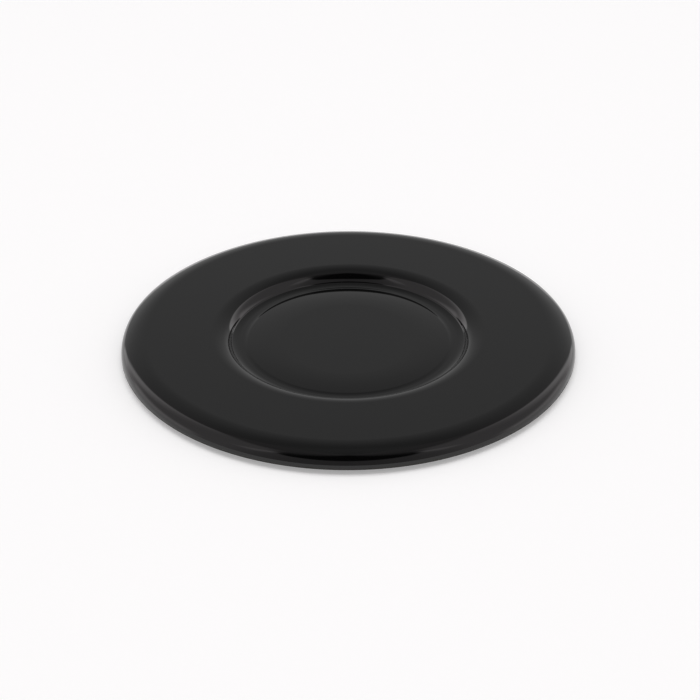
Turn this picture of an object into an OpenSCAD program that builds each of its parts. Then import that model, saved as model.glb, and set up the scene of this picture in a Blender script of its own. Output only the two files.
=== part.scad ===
// Gas hob burner cap, semi-rapid size: the round enamelled lid that lies on
// the flame spreader of one burner. It is one piece, pressed from steel sheet.
// The sheet keeps one thickness all the way: a flat top ring, a rim turned
// down outside, and a round recess stamped down inside, whose underside is
// the boss that centres the cap on its burner.
// Millimetres, +Z up. The origin is on the axis, level with the lowest face
// of the boss, on which the cap stands when it is put down.

/* [Cap] */
// outer diameter, over the turned-down rim
cap_d = 75; // [68:0.5:105]
// height of the rim, from its lower edge to the flat top
rim_h = 2.8; // [2.3:0.05:3.5]
// thickness of the enamelled sheet
sheet_t = 1.6; // [1:0.05:2]

/* [Rim] */
// radius of the wide roll in which the flat top starts to turn down
rim_roll_r = 6.6; // [4:0.1:9]
// inside radius of the tighter bend down to the upright edge
rim_inside_r = 0.3; // [0.1:0.05:0.8]
// upright height of the rim below that bend
rim_lip = 0.12; // [0.05:0.01:0.5]
// rounding of the two corners of the sheet's lower edge
edge_round = 0.15; // [0.05:0.01:0.3]

/* [Recess] */
// diameter at which the flat top starts to turn down into the recess
recess_d = 45.3; // [34:0.1:50]
// depth of the recess, from the flat top to the bottom of the groove
recess_depth = 2.05; // [1.6:0.05:2.7]
// radius of the wide roll from the flat top into the recess
shoulder_roll_r = 5.3; // [3:0.1:7]
// angle through which that roll turns, in degrees
shoulder_roll_angle = 22; // [15:1:30]
// inside radius of the tighter bend down to the wall of the recess
shoulder_inside_r = 1; // [0.4:0.05:2]
// straight length of the sloping wall
wall_run = 0.1; // [0.05:0.05:0.4]

/* [Groove and floor] */
// radius of the corner at the foot of the wall
groove_corner_r = 0.5; // [0.3:0.05:1]
// slope at which the corner eases into the groove, in degrees
groove_out_angle = 24; // [15:1:30]
// radius of the groove on both sides of its level land
groove_r = 2.9; // [1.5:0.1:4]
// width of the level land at the bottom of the groove
groove_land = 0.4; // [0.2:0.05:1]
// slope at which the groove rises to the floor, in degrees
groove_in_angle = 14; // [10:1:18]
// inside radius of the edge between the groove and the domed floor
floor_edge_inside_r = 0.4; // [0.2:0.1:2]
// slope of the domed floor at its edge, in degrees
floor_edge_angle = 5.7; // [4.8:0.1:6.5]
// height of the middle of the floor above the bottom of the groove
floor_rise = 0.4; // [0.3:0.01:0.5]

/* [Hidden] */
// enamel colour
enamel = [0.03, 0.03, 0.035];
// one step of a bend in the section, in degrees
bend_step = 5;
// steps round the axis
$fn = 144;

// The section is walked along its upper side from the axis outwards. A
// station is [r, z, heading], the heading being 0 when level and outwards,
// and growing when the path climbs.

// drop of a bend of radius r while its slope goes from a to b
function drop(r, a, b) = r * abs(cos(a) - cos(b));
// reach of the same bend along r
function reach(r, a, b) = r * abs(sin(b) - sin(a));

// Radii on the upper side of the three bends whose inside is below.
rim_bend_r = rim_inside_r + sheet_t;
shoulder_bend_r = shoulder_inside_r + sheet_t;
floor_edge_r = floor_edge_inside_r + sheet_t;

// The wide roll of the rim turns until the bend after it, the lip and the
// rounded edge just fill the height of the rim.
rim_roll_angle = acos((rim_roll_r + rim_lip + edge_round - rim_h)
                      / (rim_roll_r - rim_bend_r));

// The slope of the recess wall follows from the depth: the bends above and
// below the wall and its straight run together come down recess_depth.
wall_bends = shoulder_bend_r + groove_corner_r;
wall_level = shoulder_bend_r * cos(shoulder_roll_angle)
           + groove_corner_r * cos(groove_out_angle)
           + drop(shoulder_roll_r, 0, shoulder_roll_angle)
           + drop(groove_r, 0, groove_out_angle) - recess_depth;
wall_angle = acos(wall_level / norm([wall_bends, wall_run]))
           - atan2(wall_run, wall_bends);

// The radius of the domed floor follows from its rise.
floor_r = (floor_rise - drop(groove_r, 0, groove_in_angle)
           - drop(floor_edge_r, groove_in_angle, floor_edge_angle))
        / (1 - cos(floor_edge_angle));

// Radii, from the outside in, at which the flat parts end.
rim_start = cap_d / 2 - reach(rim_roll_r, 0, rim_roll_angle)
          - reach(rim_bend_r, rim_roll_angle, 90);
recess_start = recess_d / 2;
floor_flat = recess_start - reach(shoulder_roll_r, 0, shoulder_roll_angle)
           - reach(shoulder_bend_r, shoulder_roll_angle, wall_angle)
           - wall_run * cos(wall_angle)
           - reach(groove_corner_r, groove_out_angle, wall_angle)
           - reach(groove_r, 0, groove_out_angle) - groove_land
           - reach(groove_r, 0, groove_in_angle)
           - reach(floor_edge_r, floor_edge_angle, groove_in_angle)
           - reach(floor_r, 0, floor_edge_angle);

// The upper side as bends [turn, radius] and straight runs [0, length].
top_path = [
    [0, floor_flat],
    [-floor_edge_angle, floor_r],
    [floor_edge_angle - groove_in_angle, floor_edge_r],
    [groove_in_angle, groove_r],
    [0, groove_land],
    [groove_out_angle, groove_r],
    [wall_angle - groove_out_angle, groove_corner_r],
    [0, wall_run],
    [shoulder_roll_angle - wall_angle, shoulder_bend_r],
    [-shoulder_roll_angle, shoulder_roll_r],
    [0, rim_start - recess_start],
    [-rim_roll_angle, rim_roll_r],
    [rim_roll_angle - 90, rim_bend_r],
    [0, rim_lip],
];

// stations of one bend or straight run that starts at station s
function stations(s, turn, size) =
    turn == 0
    ? [[s[0] + size * cos(s[2]), s[1] + size * sin(s[2]), s[2]]]
    : let (
        steps = max(2, ceil(abs(turn) / bend_step)),
        r = sign(turn) * size,
        centre = [s[0] - r * sin(s[2]), s[1] + r * cos(s[2])]
    )
    [
        for (i = [1 : steps])
            let (h = s[2] + turn * i / steps)
            [centre[0] + r * sin(h), centre[1] - r * cos(h), h]
    ];

// stations of the whole path, one element after the other
function walk(path, s, i = 0) =
    i == len(path)
    ? []
    : let (part = stations(s, path[i][0], path[i][1]))
      concat(part, walk(path, part[len(part) - 1], i + 1));

// points at a distance below the stations, square to the sheet
function below(line, distance) =
    [for (s = line) [s[0] + distance * sin(s[2]), s[1] - distance * cos(s[2])]];

function reversed(list) = [for (i = [len(list) - 1 : -1 : 0]) list[i]];

// closed outline of the sheet: upper side, rounded lower edge, underside
function sheet_outline() =
    let (
        start = [0, sheet_t + floor_rise, 0],
        top = concat([start], walk(top_path, start)),
        last = top[len(top) - 1],
        lower_edge = walk(
            [[-90, edge_round], [0, sheet_t - 2 * edge_round], [-90, edge_round]],
            last
        ),
        rounded = [for (i = [0 : len(lower_edge) - 2]) lower_edge[i]]
    )
    concat(below(top, 0), below(rounded, 0), reversed(below(top, sheet_t)));

module burner_cap() {
    color(enamel)
        rotate_extrude()
            polygon(sheet_outline());
}

burner_cap();
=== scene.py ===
"""Cap of a gas hob burner in black enamel, dressed and lit for a photograph.

The cap is one surface turned from the section of its pressed sheet. The
enamel is glossy above, thin and rough along the cut edge at the bottom of the
rim, and duller underneath. It stands on a pale floor in a white light tent.
Lengths are in metres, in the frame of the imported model.
"""

import math

import bpy
import numpy as np
from bpy.props import FloatProperty, FloatVectorProperty, IntProperty, PointerProperty
from bpy.types import Operator, Panel, PropertyGroup
from mathutils import Matrix, Vector


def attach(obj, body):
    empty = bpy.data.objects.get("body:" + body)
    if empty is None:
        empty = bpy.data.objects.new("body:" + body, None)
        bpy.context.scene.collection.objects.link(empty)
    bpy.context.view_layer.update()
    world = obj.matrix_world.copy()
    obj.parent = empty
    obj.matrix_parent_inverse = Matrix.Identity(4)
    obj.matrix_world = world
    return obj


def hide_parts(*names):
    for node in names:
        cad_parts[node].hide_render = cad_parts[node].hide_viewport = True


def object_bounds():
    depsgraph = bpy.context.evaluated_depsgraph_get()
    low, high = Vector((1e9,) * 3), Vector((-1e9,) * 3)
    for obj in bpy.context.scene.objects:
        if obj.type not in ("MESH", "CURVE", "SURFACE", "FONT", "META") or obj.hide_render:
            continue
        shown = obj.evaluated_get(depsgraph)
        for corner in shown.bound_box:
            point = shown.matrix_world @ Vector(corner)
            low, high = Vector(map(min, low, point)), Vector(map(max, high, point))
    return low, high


bl_info = {
    "name": "Hob burner cap",
    "version": (1, 0, 0),
    "blender": (4, 5, 0),
    "location": "3D View > Sidebar > Burner cap",
    "description": "Makes an enamelled burner cap and the light tent around it",
    "category": "Add Mesh",
}

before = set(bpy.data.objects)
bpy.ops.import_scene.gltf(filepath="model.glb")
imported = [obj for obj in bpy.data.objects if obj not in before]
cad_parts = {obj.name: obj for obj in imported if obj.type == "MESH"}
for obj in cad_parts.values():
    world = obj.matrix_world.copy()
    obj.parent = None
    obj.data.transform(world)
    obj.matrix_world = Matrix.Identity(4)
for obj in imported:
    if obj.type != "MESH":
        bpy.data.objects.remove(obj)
CAD_BOX = [[float(v) for v in corner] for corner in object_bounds()]

MM = 0.001
NODE = "burner_cap"
BODY = "root"


def length(name, text, default):
    """A length property whose default is given in millimetres."""
    return FloatProperty(name=name, description=text, default=default * MM, min=0.0,
                         precision=5, unit="LENGTH", subtype="DISTANCE")


def angle(name, text, default):
    """An angle property whose default is given in degrees."""
    return FloatProperty(name=name, description=text, default=math.radians(default),
                         unit="ROTATION", subtype="ANGLE")


class CapSizes(PropertyGroup):
    """Sizes of the cap's section."""

    cap_d: FloatProperty(
        name="Diameter", description="Outer diameter over the turned-down rim",
        default=CAD_BOX[1][0] - CAD_BOX[0][0], unit="LENGTH", subtype="DISTANCE")
    rim_h: length("Rim height", "From the rim's lower edge to the flat top", 2.8)
    sheet_t: length("Sheet", "Thickness of the enamelled sheet", 1.6)
    rim_roll_r: length("Rim roll", "Radius of the wide roll at the rim", 6.6)
    rim_inside_r: length("Rim inside radius", "Inside radius of the rim's bend", 0.3)
    rim_lip: length("Lip", "Upright height below the rim's bend", 0.12)
    edge_round: length("Edge rounding", "Rounding of the lower edge's corners", 0.15)
    recess_d: length("Recess diameter", "Where the flat top turns down", 45.3)
    recess_depth: length("Recess depth", "From the flat top to the groove", 2.05)
    shoulder_roll_r: length("Shoulder roll", "Radius of the roll into the recess", 5.3)
    shoulder_roll_angle: angle("Shoulder roll turn", "Turn of that roll", 22)
    shoulder_inside_r: length("Shoulder inside radius", "Inside radius of its bend", 1)
    wall_run: length("Wall", "Straight length of the sloping wall", 0.1)
    groove_corner_r: length("Groove corner", "Radius at the foot of the wall", 0.5)
    groove_out_angle: angle("Groove slope out", "Slope towards the wall", 24)
    groove_r: length("Groove", "Radius of the groove", 2.9)
    groove_land: length("Groove land", "Level width of the groove's bottom", 0.4)
    groove_in_angle: angle("Groove slope in", "Slope towards the floor", 14)
    floor_edge_inside_r: length("Floor edge", "Inside radius of the floor's edge", 0.4)
    floor_edge_angle: angle("Floor slope", "Slope of the domed floor at its edge", 5.7)
    floor_rise: length("Floor rise", "Middle of the floor above the groove", 0.4)
    steps_round: IntProperty(name="Steps round", description="Faces round the axis",
                             default=360, min=24, max=720)
    bend_step: angle("Bend step", "One step of a bend in the section", 2.5)


class EnamelLook(PropertyGroup):
    """Colours and finish of the enamel."""

    coat: FloatVectorProperty(
        name="Cover coat", description="Glossy black cover coat", subtype="COLOR",
        size=3, default=(0.0022, 0.0022, 0.0023))
    edge: FloatVectorProperty(
        name="Edge coat", description="Thin coat burnt brown on the cut edge",
        subtype="COLOR", size=3, default=(0.020, 0.017, 0.010))
    under: FloatVectorProperty(
        name="Ground coat", description="Dull ground coat of the underside",
        subtype="COLOR", size=3, default=(0.010, 0.010, 0.011))
    gloss: FloatProperty(name="Gloss roughness", description="Roughness of the cover coat",
                         default=0.035, min=0.0, max=1.0)
    under_roughness: FloatProperty(name="Underside roughness",
                                   description="Roughness of the ground coat",
                                   default=0.34, min=0.0, max=1.0)
    edge_roughness: FloatProperty(name="Edge roughness",
                                  description="Roughness along the cut edge",
                                  default=0.6, min=0.0, max=1.0)
    edge_height: length("Edge band", "Height of the rough band on the rim", 0.55)


class StudioLook(PropertyGroup):
    """Camera and light tent."""

    elevation: angle("Camera elevation", "Camera's height above the horizon", 30.7)
    distance: length("Camera distance", "From the cap's axis", 371.25)
    roll: angle("Camera roll", "Turn of the camera about its view", -0.19)
    lens: FloatProperty(name="Lens", description="Focal length on a 36 mm sensor, in mm",
                        default=115.17, min=1.0)
    tent: FloatProperty(name="Tent level", description="Level of the tent's walls",
                        default=1.0, min=0.0)
    lamp: FloatProperty(name="Overhead lamp", description="Power of the soft lamp",
                        default=7.0, min=0.0, unit="POWER")


# Shape of the cap


def drop(radius, a, b):
    """Height lost on a bend: radius times the difference of the cosines."""
    return radius * abs(math.cos(a) - math.cos(b))


def reach(radius, a, b):
    """Width of a bend: radius times the difference of the sines."""
    return radius * abs(math.sin(a) - math.sin(b))


def section_path(s):
    """Bends (turn, radius) and runs (0, length) of the sheet's upper side.

    The path goes from the axis outwards. The wall's slope follows from the
    depth of the recess, the floor's radius from its rise, and the turn of the
    rim's roll from the height of the rim.
    """
    upright = math.pi / 2
    rim_bend = s.rim_inside_r + s.sheet_t
    shoulder = s.shoulder_inside_r + s.sheet_t
    floor_edge = s.floor_edge_inside_r + s.sheet_t
    roll_turn = math.acos((s.rim_roll_r + s.rim_lip + s.edge_round - s.rim_h)
                          / (s.rim_roll_r - rim_bend))
    level = (shoulder * math.cos(s.shoulder_roll_angle)
             + s.groove_corner_r * math.cos(s.groove_out_angle)
             + drop(s.shoulder_roll_r, 0, s.shoulder_roll_angle)
             + drop(s.groove_r, 0, s.groove_out_angle) - s.recess_depth)
    bends = shoulder + s.groove_corner_r
    wall = (math.acos(level / math.hypot(bends, s.wall_run))
            - math.atan2(s.wall_run, bends))
    floor_r = ((s.floor_rise - drop(s.groove_r, 0, s.groove_in_angle)
                - drop(floor_edge, s.groove_in_angle, s.floor_edge_angle))
               / (1 - math.cos(s.floor_edge_angle)))
    rim_start = (s.cap_d / 2 - reach(s.rim_roll_r, 0, roll_turn)
                 - reach(rim_bend, roll_turn, upright))
    floor_flat = (s.recess_d / 2 - reach(s.shoulder_roll_r, 0, s.shoulder_roll_angle)
                  - reach(shoulder, s.shoulder_roll_angle, wall)
                  - s.wall_run * math.cos(wall)
                  - reach(s.groove_corner_r, s.groove_out_angle, wall)
                  - reach(s.groove_r, 0, s.groove_out_angle) - s.groove_land
                  - reach(s.groove_r, 0, s.groove_in_angle)
                  - reach(floor_edge, s.floor_edge_angle, s.groove_in_angle)
                  - reach(floor_r, 0, s.floor_edge_angle))
    return [
        (0, floor_flat),
        (-s.floor_edge_angle, floor_r),
        (s.floor_edge_angle - s.groove_in_angle, floor_edge),
        (s.groove_in_angle, s.groove_r),
        (0, s.groove_land),
        (s.groove_out_angle, s.groove_r),
        (wall - s.groove_out_angle, s.groove_corner_r),
        (0, s.wall_run),
        (s.shoulder_roll_angle - wall, shoulder),
        (-s.shoulder_roll_angle, s.shoulder_roll_r),
        (0, rim_start - s.recess_d / 2),
        (-roll_turn, s.rim_roll_r),
        (roll_turn - upright, rim_bend),
        (0, s.rim_lip),
    ]


# Rings this close to the ends of a run keep its shading level.
RUN_MARGIN = 0.03 * MM
# Rings on a run are at most this far apart.
RUN_STEP = 1.5 * MM
# One step of the small roundings of the lower edge.
EDGE_STEP = math.radians(15)


def walk(path, start, bend_step):
    """Stations (r, z, heading) along bends and runs, as rows of one array.

    On a bend of signed radius q that starts at heading h about the centre
    c = p + q (-sin h, cos h), the point at heading g is c + q (sin g, -cos g).
    On a run it is p + t (cos h, sin h) for t from 0 to the run's length.
    """
    rows = [np.array([start])]
    r, z, h = start
    for turn, size in path:
        if turn == 0:
            ends = [0.0, RUN_MARGIN, size - RUN_MARGIN, size]
            if size <= 4 * RUN_MARGIN:
                ends = [0.0, size]
            count = max(1, math.ceil(size / RUN_STEP))
            inner = np.linspace(ends[1], ends[-2], count + 1) if len(ends) == 4 else []
            t = np.unique(np.concatenate([ends, inner]))[1:]
            part = np.stack([r + t * math.cos(h), z + t * math.sin(h),
                             np.full(len(t), h)], axis=1)
        else:
            q = math.copysign(size, turn)
            count = max(2, math.ceil(abs(turn) / bend_step))
            g = h + turn * np.arange(1, count + 1) / count
            part = np.stack([r - q * math.sin(h) + q * np.sin(g),
                             z + q * math.cos(h) - q * np.cos(g), g], axis=1)
        rows.append(part)
        r, z, h = part[-1]
    return np.concatenate(rows)


def sheet_section(s):
    """Section of the sheet as points (r, z), in three parts from axis to axis.

    The upper side outwards, round the lower edge, and back along the
    underside, which lies sheet_t below the upper side, square to it.
    """
    start = (0.0, s.sheet_t + s.floor_rise, 0.0)
    top = walk(section_path(s), start, s.bend_step)
    quarter = math.pi / 2
    edge = walk([(-quarter, s.edge_round), (0, s.sheet_t - 2 * s.edge_round),
                 (-quarter, s.edge_round)], tuple(top[-1]), EDGE_STEP)
    under = np.stack([top[:, 0] + s.sheet_t * np.sin(top[:, 2]),
                      top[:, 1] - s.sheet_t * np.cos(top[:, 2])], axis=1)
    return top[:, :2], edge[1:-1, :2], under[::-1]


def turned(points, steps):
    """Vertices and faces of a section turned about Z, closed at both poles.

    Vertex (i, j) is (r_i cos a_j, r_i sin a_j, z_i) with a_j = 2 pi j / steps.
    The first and the last point lie on the axis and are one vertex each.
    """
    a = 2 * math.pi * np.arange(steps) / steps
    ring = points[1:-1]
    body = np.empty((len(ring), steps, 3))
    body[..., 0] = ring[:, :1] * np.cos(a)
    body[..., 1] = ring[:, :1] * np.sin(a)
    body[..., 2] = ring[:, 1:]
    verts = np.concatenate([[[0, 0, points[0, 1]]], body.reshape(-1, 3),
                            [[0, 0, points[-1, 1]]]])
    j = np.arange(steps)
    k = (j + 1) % steps
    first = 1 + steps * np.arange(len(ring) - 1)[:, None]
    quads = np.stack([first + j, first + steps + j, first + steps + k, first + k], axis=-1)
    last_ring = 1 + steps * (len(ring) - 1)
    top_fan = np.stack([np.zeros(steps, int), 1 + j, 1 + k], axis=1)
    low_fan = np.stack([np.full(steps, len(verts) - 1), last_ring + k, last_ring + j], axis=1)
    return verts, quads.reshape(-1, 4), np.concatenate([top_fan, low_fan])


def mesh_object(name, verts, quads, triangles):
    """Object at the origin whose smooth mesh has these vertices and faces."""
    mesh = bpy.data.meshes.new(name)
    mesh.vertices.add(len(verts))
    mesh.vertices.foreach_set("co", verts.astype(np.float32).ravel())
    corners = np.concatenate([quads.ravel(), triangles.ravel()]).astype(np.int32)
    totals = np.concatenate([np.full(len(quads), 4), np.full(len(triangles), 3)])
    starts = np.concatenate([[0], np.cumsum(totals)[:-1]]).astype(np.int32)
    mesh.loops.add(len(corners))
    mesh.loops.foreach_set("vertex_index", corners)
    mesh.polygons.add(len(totals))
    mesh.polygons.foreach_set("loop_start", starts)
    mesh.polygons.foreach_set("use_smooth", np.ones(len(totals), bool))
    mesh.update(calc_edges=True)
    if mesh.validate():
        raise RuntimeError(name + " came out with broken faces")
    obj = bpy.data.objects.new(name, mesh)
    bpy.context.scene.collection.objects.link(obj)
    return obj


# Shader helpers


class Shader:
    """Short calls that add nodes to one node tree and return their output."""

    def __init__(self, tree):
        self.tree = tree
        tree.nodes.clear()

    def node(self, kind, **settings):
        new = self.tree.nodes.new(kind)
        for key, value in settings.items():
            setattr(new, key, value)
        return new

    def feed(self, socket, value):
        if isinstance(value, bpy.types.NodeSocket):
            self.tree.links.new(value, socket)
        else:
            socket.default_value = value

    def math(self, operation, a, b=0.0, clamp=False):
        n = self.node("ShaderNodeMath", operation=operation, use_clamp=clamp)
        self.feed(n.inputs[0], a)
        self.feed(n.inputs[1], b)
        return n.outputs[0]

    def between(self, value, low, high, to_low=0.0, to_high=1.0):
        """Smooth step: to_low at low, to_high at high, level beyond them."""
        n = self.node("ShaderNodeMapRange", interpolation_type="SMOOTHSTEP")
        for socket, v in zip(n.inputs[:5], (value, low, high, to_low, to_high)):
            self.feed(socket, v)
        return n.outputs[0]

    def window(self, value, a, b, c, d):
        """1 from b to c, 0 below a and above d, with smooth flanks."""
        return self.math("MULTIPLY", self.between(value, a, b),
                         self.between(value, c, d, 1.0, 0.0))

    def table(self, value, stops):
        """Smooth curve through (value, level) stops."""
        low, high = stops[0][0], stops[-1][0]
        peak = max(level for _, level in stops)
        n = self.node("ShaderNodeMapRange")
        for socket, v in zip(n.inputs[:3], (value, low, high)):
            self.feed(socket, v)
        ramp = self.node("ShaderNodeValToRGB")
        self.feed(ramp.inputs[0], n.outputs[0])
        bar = ramp.color_ramp
        bar.interpolation = "EASE" if len(stops) < 3 else "CARDINAL"
        while len(bar.elements) < len(stops):
            bar.elements.new(0.5)
        for element, (at, level) in zip(bar.elements, stops):
            element.position = (at - low) / (high - low)
            grey = level / peak
            element.color = (grey, grey, grey, 1.0)
        return self.math("MULTIPLY", ramp.outputs[0], peak)

    def mix(self, factor, a, b):
        """Plain blend of two numbers."""
        n = self.node("ShaderNodeMix", data_type="FLOAT")
        self.feed(n.inputs["Factor"], factor)
        self.feed(n.inputs["A"], a)
        self.feed(n.inputs["B"], b)
        return n.outputs["Result"]

    def mix_colour(self, factor, a, b):
        """Plain blend of two colours."""
        n = self.node("ShaderNodeMix", data_type="RGBA")
        self.feed(n.inputs["Factor"], factor)
        for socket, colour in ((n.inputs[6], a), (n.inputs[7], b)):
            if not isinstance(colour, bpy.types.NodeSocket):
                colour = (*colour, 1.0)
            self.feed(socket, colour)
        return n.outputs[2]

    def noise(self, position, grain, detail=2.0, roughness=0.5):
        """Cloudy noise whose grains are about that long, in metres."""
        n = self.node("ShaderNodeTexNoise")
        self.feed(n.inputs["Vector"], position)
        self.feed(n.inputs["Scale"], 1.0 / grain)
        self.feed(n.inputs["Detail"], detail)
        self.feed(n.inputs["Roughness"], roughness)
        return n.outputs["Fac"]

    def axis_distance(self, position):
        """Distance from the Z axis."""
        flat = self.node("ShaderNodeVectorMath", operation="MULTIPLY")
        self.feed(flat.inputs[0], position)
        flat.inputs[1].default_value = (1.0, 1.0, 0.0)
        n = self.node("ShaderNodeVectorMath", operation="LENGTH")
        self.feed(n.inputs[0], flat.outputs[0])
        return n.outputs["Value"]

    def bump(self, height, distance, under=None):
        """Bump of that height field, in metres."""
        n = self.node("ShaderNodeBump")
        self.feed(n.inputs["Strength"], 1.0)
        self.feed(n.inputs["Distance"], distance)
        self.feed(n.inputs["Height"], height)
        if under is not None:
            self.feed(n.inputs["Normal"], under)
        return n.outputs[0]


# Enamel

UNDER_ATTRIBUTE = "underside"
GLASS_IOR = 1.5

# The rough band starts between these two distances inside the outer radius.
RIM_BAND_FROM = 2.6 * MM
RIM_BAND_FULL = 1.9 * MM
# It is full up to this height above the cut edge, and its border wanders.
RIM_BAND_SOLID = 0.15 * MM
WANDER_GRAIN = 1.6 * MM
WANDER_HEIGHT = 0.55 * MM

# Grit of the burnt edge, pale specks and clouds of the coats.
GRIT_GRAIN = 0.16 * MM
SPECK_GRAIN = 0.30 * MM
SPECK_SHARE = 0.7
SPECK_PALENESS = 3.2
CLOUD_GRAIN = 6 * MM
CLOUD_ON_GLOSS = 0.02
CLOUD_ON_DULL = 0.12

# Length and height of the coat's long waves, its fine peel, and the grit.
WAVE_GRAIN = 9 * MM
WAVE_HEIGHT = 0.006 * MM
PEEL_GRAIN = 1.1 * MM
PEEL_ON_GLOSS = 0.0004 * MM
PEEL_ON_DULL = 0.012 * MM
GRIT_HEIGHT = 0.10 * MM


def enamel_material(look, sizes):
    """Vitreous enamel that reads the piece's own position and underside mark.

    Cover coat: near-black glass, very smooth, with the faint long waves that
    a fired coat has. Cut edge: a rough band, brown where it is thin. Ground
    coat below: dull, with fine pale specks.
    """
    mat = bpy.data.materials.new("black_enamel")
    mat.use_nodes = True
    s = Shader(mat.node_tree)
    position = s.node("ShaderNodeTexCoord").outputs["Object"]
    split = s.node("ShaderNodeSeparateXYZ")
    s.feed(split.inputs[0], position)
    height = split.outputs[2]
    mark = s.node("ShaderNodeAttribute", attribute_name=UNDER_ATTRIBUTE)
    under = mark.outputs["Fac"]

    edge_z = sizes.sheet_t + sizes.recess_depth - sizes.rim_h
    border = s.math("SUBTRACT", s.noise(position, WANDER_GRAIN, 3.0), 0.5)
    wander = s.math("MULTIPLY", border, WANDER_HEIGHT)
    rim_height = s.math("SUBTRACT", s.math("ADD", height, wander), edge_z)
    outer_r = sizes.cap_d / 2
    on_rim = s.between(s.axis_distance(position), outer_r - RIM_BAND_FROM,
                       outer_r - RIM_BAND_FULL)
    band = s.math("MULTIPLY", on_rim,
                  s.between(rim_height, RIM_BAND_SOLID, look.edge_height, 1.0, 0.0))

    grit = s.noise(position, GRIT_GRAIN, 4.0, 0.65)
    speck = s.between(s.noise(position, SPECK_GRAIN, 2.0, 0.5), 0.60, 0.68)
    cloud = s.noise(position, CLOUD_GRAIN, 2.0)
    edge_colour = s.mix_colour(s.between(grit, 0.35, 0.7), look.coat, look.edge)
    under_pale = tuple(SPECK_PALENESS * c for c in look.under)
    under_colour = s.mix_colour(s.math("MULTIPLY", speck, SPECK_SHARE),
                                look.under, under_pale)
    colour = s.mix_colour(under, look.coat, under_colour)
    colour = s.mix_colour(band, colour, edge_colour)

    gloss = s.math("ADD", look.gloss, s.math("MULTIPLY", cloud, CLOUD_ON_GLOSS))
    dull = s.math("ADD", look.under_roughness - CLOUD_ON_DULL / 2,
                  s.math("MULTIPLY", cloud, CLOUD_ON_DULL))
    rough = s.mix(under, gloss, dull)
    rough = s.mix(band, rough, look.edge_roughness)

    waves = s.bump(s.noise(position, WAVE_GRAIN, 1.0), WAVE_HEIGHT)
    peel = s.bump(s.noise(position, PEEL_GRAIN, 1.0),
                  s.mix(under, PEEL_ON_GLOSS, PEEL_ON_DULL), waves)
    grain = s.bump(grit, s.mix(band, 0.0, GRIT_HEIGHT), peel)

    shell = s.node("ShaderNodeBsdfPrincipled")
    s.feed(shell.inputs["Base Color"], colour)
    s.feed(shell.inputs["Roughness"], rough)
    s.feed(shell.inputs["Normal"], grain)
    shell.inputs["IOR"].default_value = GLASS_IOR
    out = s.node("ShaderNodeOutputMaterial")
    s.feed(out.inputs[0], shell.outputs[0])
    return mat


class BURNERCAP_OT_cap(Operator):
    """Turn the cap from its section and coat it in enamel"""

    bl_idname = "burner_cap.make_cap"
    bl_label = "Make the cap"

    def execute(self, context):
        sizes = context.scene.burner_cap_sizes
        top, edge, under = sheet_section(sizes)
        points = np.concatenate([top, edge, under])
        points[0, 0] = points[-1, 0] = 0.0
        verts, quads, fans = turned(points, sizes.steps_round)
        cap = mesh_object("enamelled_cap", verts, quads, fans)
        below = np.zeros(len(points))
        below[len(top) + len(edge):] = 1.0
        ring = np.repeat(below[1:-1], sizes.steps_round)
        marks = np.concatenate([[below[0]], ring, [below[-1]]]).astype(np.float32)
        layer = cap.data.attributes.new(UNDER_ATTRIBUTE, "FLOAT", "POINT")
        layer.data.foreach_set("value", marks)
        cap.data.materials.append(
            enamel_material(context.scene.burner_cap_enamel, sizes))
        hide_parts(NODE)
        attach(cap, BODY)
        return {"FINISHED"}


# Floor, tent and camera

# Levels of the tent's back wall by elevation, and of its side walls by the
# angle round from the back wall, in degrees.
BACK_WALL = [(-20, 0.56), (10, 0.48), (20, 0.40), (35, 0.335), (50, 0.29),
             (65, 0.215), (75, 0.25), (90, 0.20)]
SIDE_WALLS = [(34, 1.40), (43, 1.36), (48, 1.05), (54, 0.76), (62, 0.62), (80, 0.60),
              (105, 0.63), (120, 0.62), (132, 0.50), (148, 0.36), (180, 0.30)]
# Elevation of the walls' upper edge, and level of the roof over it, by the
# same angle round.
WALL_TOP = [(0, 90), (30, 90), (45, 64), (60, 64), (80, 73), (100, 71), (120, 66),
            (140, 52), (155, 46), (180, 42)]
ROOF = [(0, 0.26), (60, 0.27), (90, 0.20), (110, 0.12), (130, 0.05), (150, 0.0),
        (180, 0.0)]
# The corner between back and side walls is at this angle round at the floor,
# and leans outwards with the square of the elevation.
CORNER_ANGLE = 36.0
CORNER_LEAN = 0.0045
CORNER_SOFTNESS = 2.0
WALL_TOP_SOFTNESS = 4.0
# Extra light of the strips beside the camera and of the low side lamps.
FRONT_STRIP_LEVEL = 0.35
LOW_BAND_LEVEL = 0.6
# The side walls are very slightly pink.
WHITE = (1.0, 1.0, 1.0)
SIDE_TINT = (1.03, 0.985, 1.0)

FLOOR_HALF = 4.0
FLOOR_GREY = 0.80
FLOOR_GLOW = 0.30
LAMP_SIZE = 1.0
LAMP_HEIGHT = 1.2
SENSOR_WIDTH = 36
CLIP_NEAR = 0.01
CLIP_FAR = 20
# The camera aims this far right of and above the rim's centre, in its picture.
AIM_RIGHT = 0.28 * MM
AIM_UP = -0.96 * MM


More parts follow.
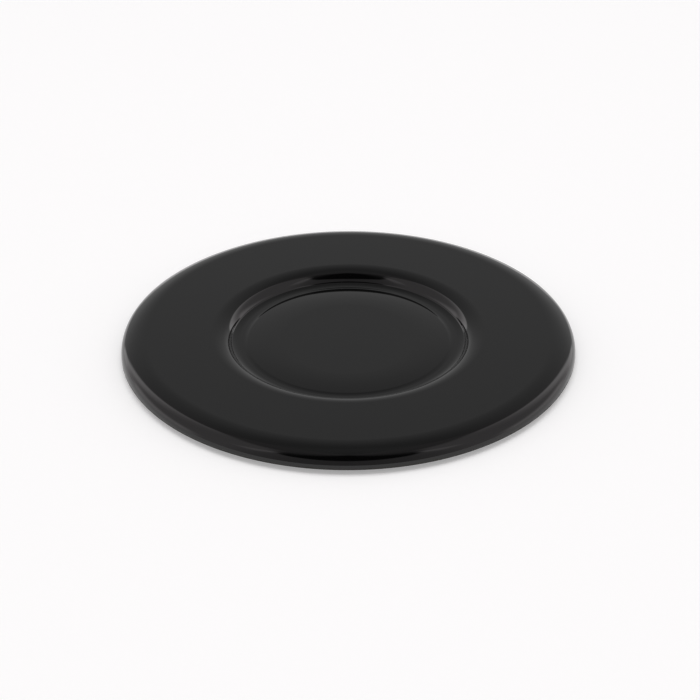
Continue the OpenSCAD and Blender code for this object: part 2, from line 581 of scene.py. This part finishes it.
def tent_world(level):
    """Light of a white tent around the cap, as a function of direction.

    With a the angle round from the back wall and e the elevation, both in
    degrees, the back wall is where a < CORNER_ANGLE + CORNER_LEAN e^2. It is
    dimmer than the side walls, which are brightest at the corners behind. The
    roof over the walls is dim, and dark above the camera.
    """
    world = bpy.data.worlds.new("light_tent")
    world.use_nodes = True
    s = Shader(world.node_tree)
    direction = s.node("ShaderNodeTexCoord").outputs["Generated"]
    split = s.node("ShaderNodeSeparateXYZ")
    s.feed(split.inputs[0], direction)
    x, y, z = split.outputs
    round_angle = s.math("ABSOLUTE", s.math("DEGREES", s.math("ARCTAN2", x, y)))
    rise = s.math("DEGREES", s.math("ARCSINE", z))

    back = s.table(rise, BACK_WALL)
    side = s.table(round_angle, SIDE_WALLS)
    front_strip = s.math("MULTIPLY", s.window(round_angle, 112, 118, 125, 132),
                         s.between(rise, 36, 50, 0.0, FRONT_STRIP_LEVEL))
    low_band = s.math("MULTIPLY", s.window(round_angle, 52, 62, 95, 110),
                      s.between(rise, 8, 24, LOW_BAND_LEVEL, 0.0))
    side = s.math("ADD", side, s.math("ADD", front_strip, low_band))

    squared = s.math("MULTIPLY", rise, rise)
    corner = s.math("ADD", CORNER_ANGLE, s.math("MULTIPLY", squared, CORNER_LEAN))
    from_corner = s.math("SUBTRACT", round_angle, corner)
    walls = s.mix(s.between(from_corner, -CORNER_SOFTNESS, CORNER_SOFTNESS), back, side)

    wall_top = s.table(round_angle, WALL_TOP)
    roof = s.table(round_angle, ROOF)
    over = s.between(s.math("SUBTRACT", rise, wall_top),
                     -WALL_TOP_SOFTNESS, WALL_TOP_SOFTNESS)
    light = s.math("MULTIPLY", s.mix(over, walls, roof), level)

    tent = s.node("ShaderNodeBackground")
    tint = s.mix_colour(s.between(round_angle, 30, 50), WHITE, SIDE_TINT)
    s.feed(tent.inputs["Color"], tint)
    s.feed(tent.inputs["Strength"], light)
    seen = s.node("ShaderNodeBackground")
    seen.inputs["Color"].default_value = (1, 1, 1, 1)
    path = s.node("ShaderNodeLightPath")
    pick = s.node("ShaderNodeMixShader")
    s.feed(pick.inputs[0], path.outputs["Is Camera Ray"])
    s.feed(pick.inputs[1], tent.outputs[0])
    s.feed(pick.inputs[2], seen.outputs[0])
    out = s.node("ShaderNodeOutputWorld")
    s.feed(out.inputs[0], pick.outputs[0])
    return world


def floor_material():
    """Pale floor: it takes the cap's soft shadow and is white where it is lit."""
    mat = bpy.data.materials.new("pale_floor")
    mat.use_nodes = True
    s = Shader(mat.node_tree)
    paper = s.node("ShaderNodeBsdfDiffuse")
    paper.inputs["Color"].default_value = (FLOOR_GREY, FLOOR_GREY, FLOOR_GREY, 1)
    glow = s.node("ShaderNodeEmission")
    path = s.node("ShaderNodeLightPath")
    seen = s.math("MAXIMUM", path.outputs["Is Camera Ray"],
                  s.math("MAXIMUM", path.outputs["Is Glossy Ray"],
                         path.outputs["Is Transmission Ray"]))
    s.feed(glow.inputs["Strength"], s.math("MULTIPLY", seen, FLOOR_GLOW))
    both = s.node("ShaderNodeAddShader")
    s.feed(both.inputs[0], paper.outputs[0])
    s.feed(both.inputs[1], glow.outputs[0])
    out = s.node("ShaderNodeOutputMaterial")
    s.feed(out.inputs[0], both.outputs[0])
    return mat


class BURNERCAP_OT_stage(Operator):
    """Lay the floor, hang the light tent and set up the camera"""

    bl_idname = "burner_cap.make_stage"
    bl_label = "Make the stage"

    def execute(self, context):
        scene = context.scene
        studio = scene.burner_cap_studio
        sizes = scene.burner_cap_sizes
        h = FLOOR_HALF
        corners = np.array([[-h, -h, 0], [h, -h, 0], [h, h, 0], [-h, h, 0]], float)
        floor = mesh_object("floor", corners, np.array([[0, 1, 2, 3]]),
                            np.zeros((0, 3), int))
        floor.data.materials.append(floor_material())

        scene.world = tent_world(studio.tent)

        light = bpy.data.lights.new("overhead_lamp", "AREA")
        light.shape = "SQUARE"
        light.size = LAMP_SIZE
        light.energy = studio.lamp
        lamp = bpy.data.objects.new("overhead_lamp", light)
        lamp.location = (0, 0, LAMP_HEIGHT)
        lamp.visible_glossy = False
        scene.collection.objects.link(lamp)

        camera_data = bpy.data.cameras.new("camera")
        camera_data.sensor_width = SENSOR_WIDTH
        camera_data.lens = studio.lens
        camera_data.clip_start = CLIP_NEAR
        camera_data.clip_end = CLIP_FAR
        camera = bpy.data.objects.new("camera", camera_data)
        scene.collection.objects.link(camera)
        e = studio.elevation
        rim_edge = sizes.sheet_t + sizes.recess_depth - sizes.rim_h
        centre = np.array([0, 0, rim_edge])
        back = np.array([0, -math.cos(e), math.sin(e)])
        up = np.array([0, math.sin(e), math.cos(e)])
        place = centre + studio.distance * back
        target = centre + AIM_RIGHT * np.array([1.0, 0, 0]) + AIM_UP * up
        view = target - place
        turn = Vector(view).to_track_quat("-Z", "Y").to_matrix().to_4x4()
        camera.matrix_world = (Matrix.Translation(Vector(place)) @ turn
                               @ Matrix.Rotation(studio.roll, 4, "Z"))
        scene.camera = camera
        scene.view_settings.view_transform = "Standard"
        return {"FINISHED"}


class BURNERCAP_PT_panel(Panel):
    """Sizes and looks of the cap in the sidebar"""

    bl_label = "Burner cap"
    bl_idname = "BURNERCAP_PT_panel"
    bl_space_type = "VIEW_3D"
    bl_region_type = "UI"
    bl_category = "Burner cap"

    def draw(self, context):
        for operator in (BURNERCAP_OT_cap, BURNERCAP_OT_stage):
            self.layout.operator(operator.bl_idname)
        for group in ("burner_cap_sizes", "burner_cap_enamel", "burner_cap_studio"):
            box = self.layout.box()
            data = getattr(context.scene, group)
            for name in data.__annotations__:
                box.prop(data, name)


CLASSES = (CapSizes, EnamelLook, StudioLook, BURNERCAP_OT_cap, BURNERCAP_OT_stage,
           BURNERCAP_PT_panel)


def register():
    for cls in CLASSES:
        bpy.utils.register_class(cls)
    bpy.types.Scene.burner_cap_sizes = PointerProperty(type=CapSizes)
    bpy.types.Scene.burner_cap_enamel = PointerProperty(type=EnamelLook)
    bpy.types.Scene.burner_cap_studio = PointerProperty(type=StudioLook)


def unregister():
    del bpy.types.Scene.burner_cap_studio
    del bpy.types.Scene.burner_cap_enamel
    del bpy.types.Scene.burner_cap_sizes
    for cls in reversed(CLASSES):
        bpy.utils.unregister_class(cls)


def main():
    register()
    bpy.ops.burner_cap.make_cap()
    bpy.ops.burner_cap.make_stage()
    bpy.context.view_layer.update()


if __name__ == "__main__":
    main()
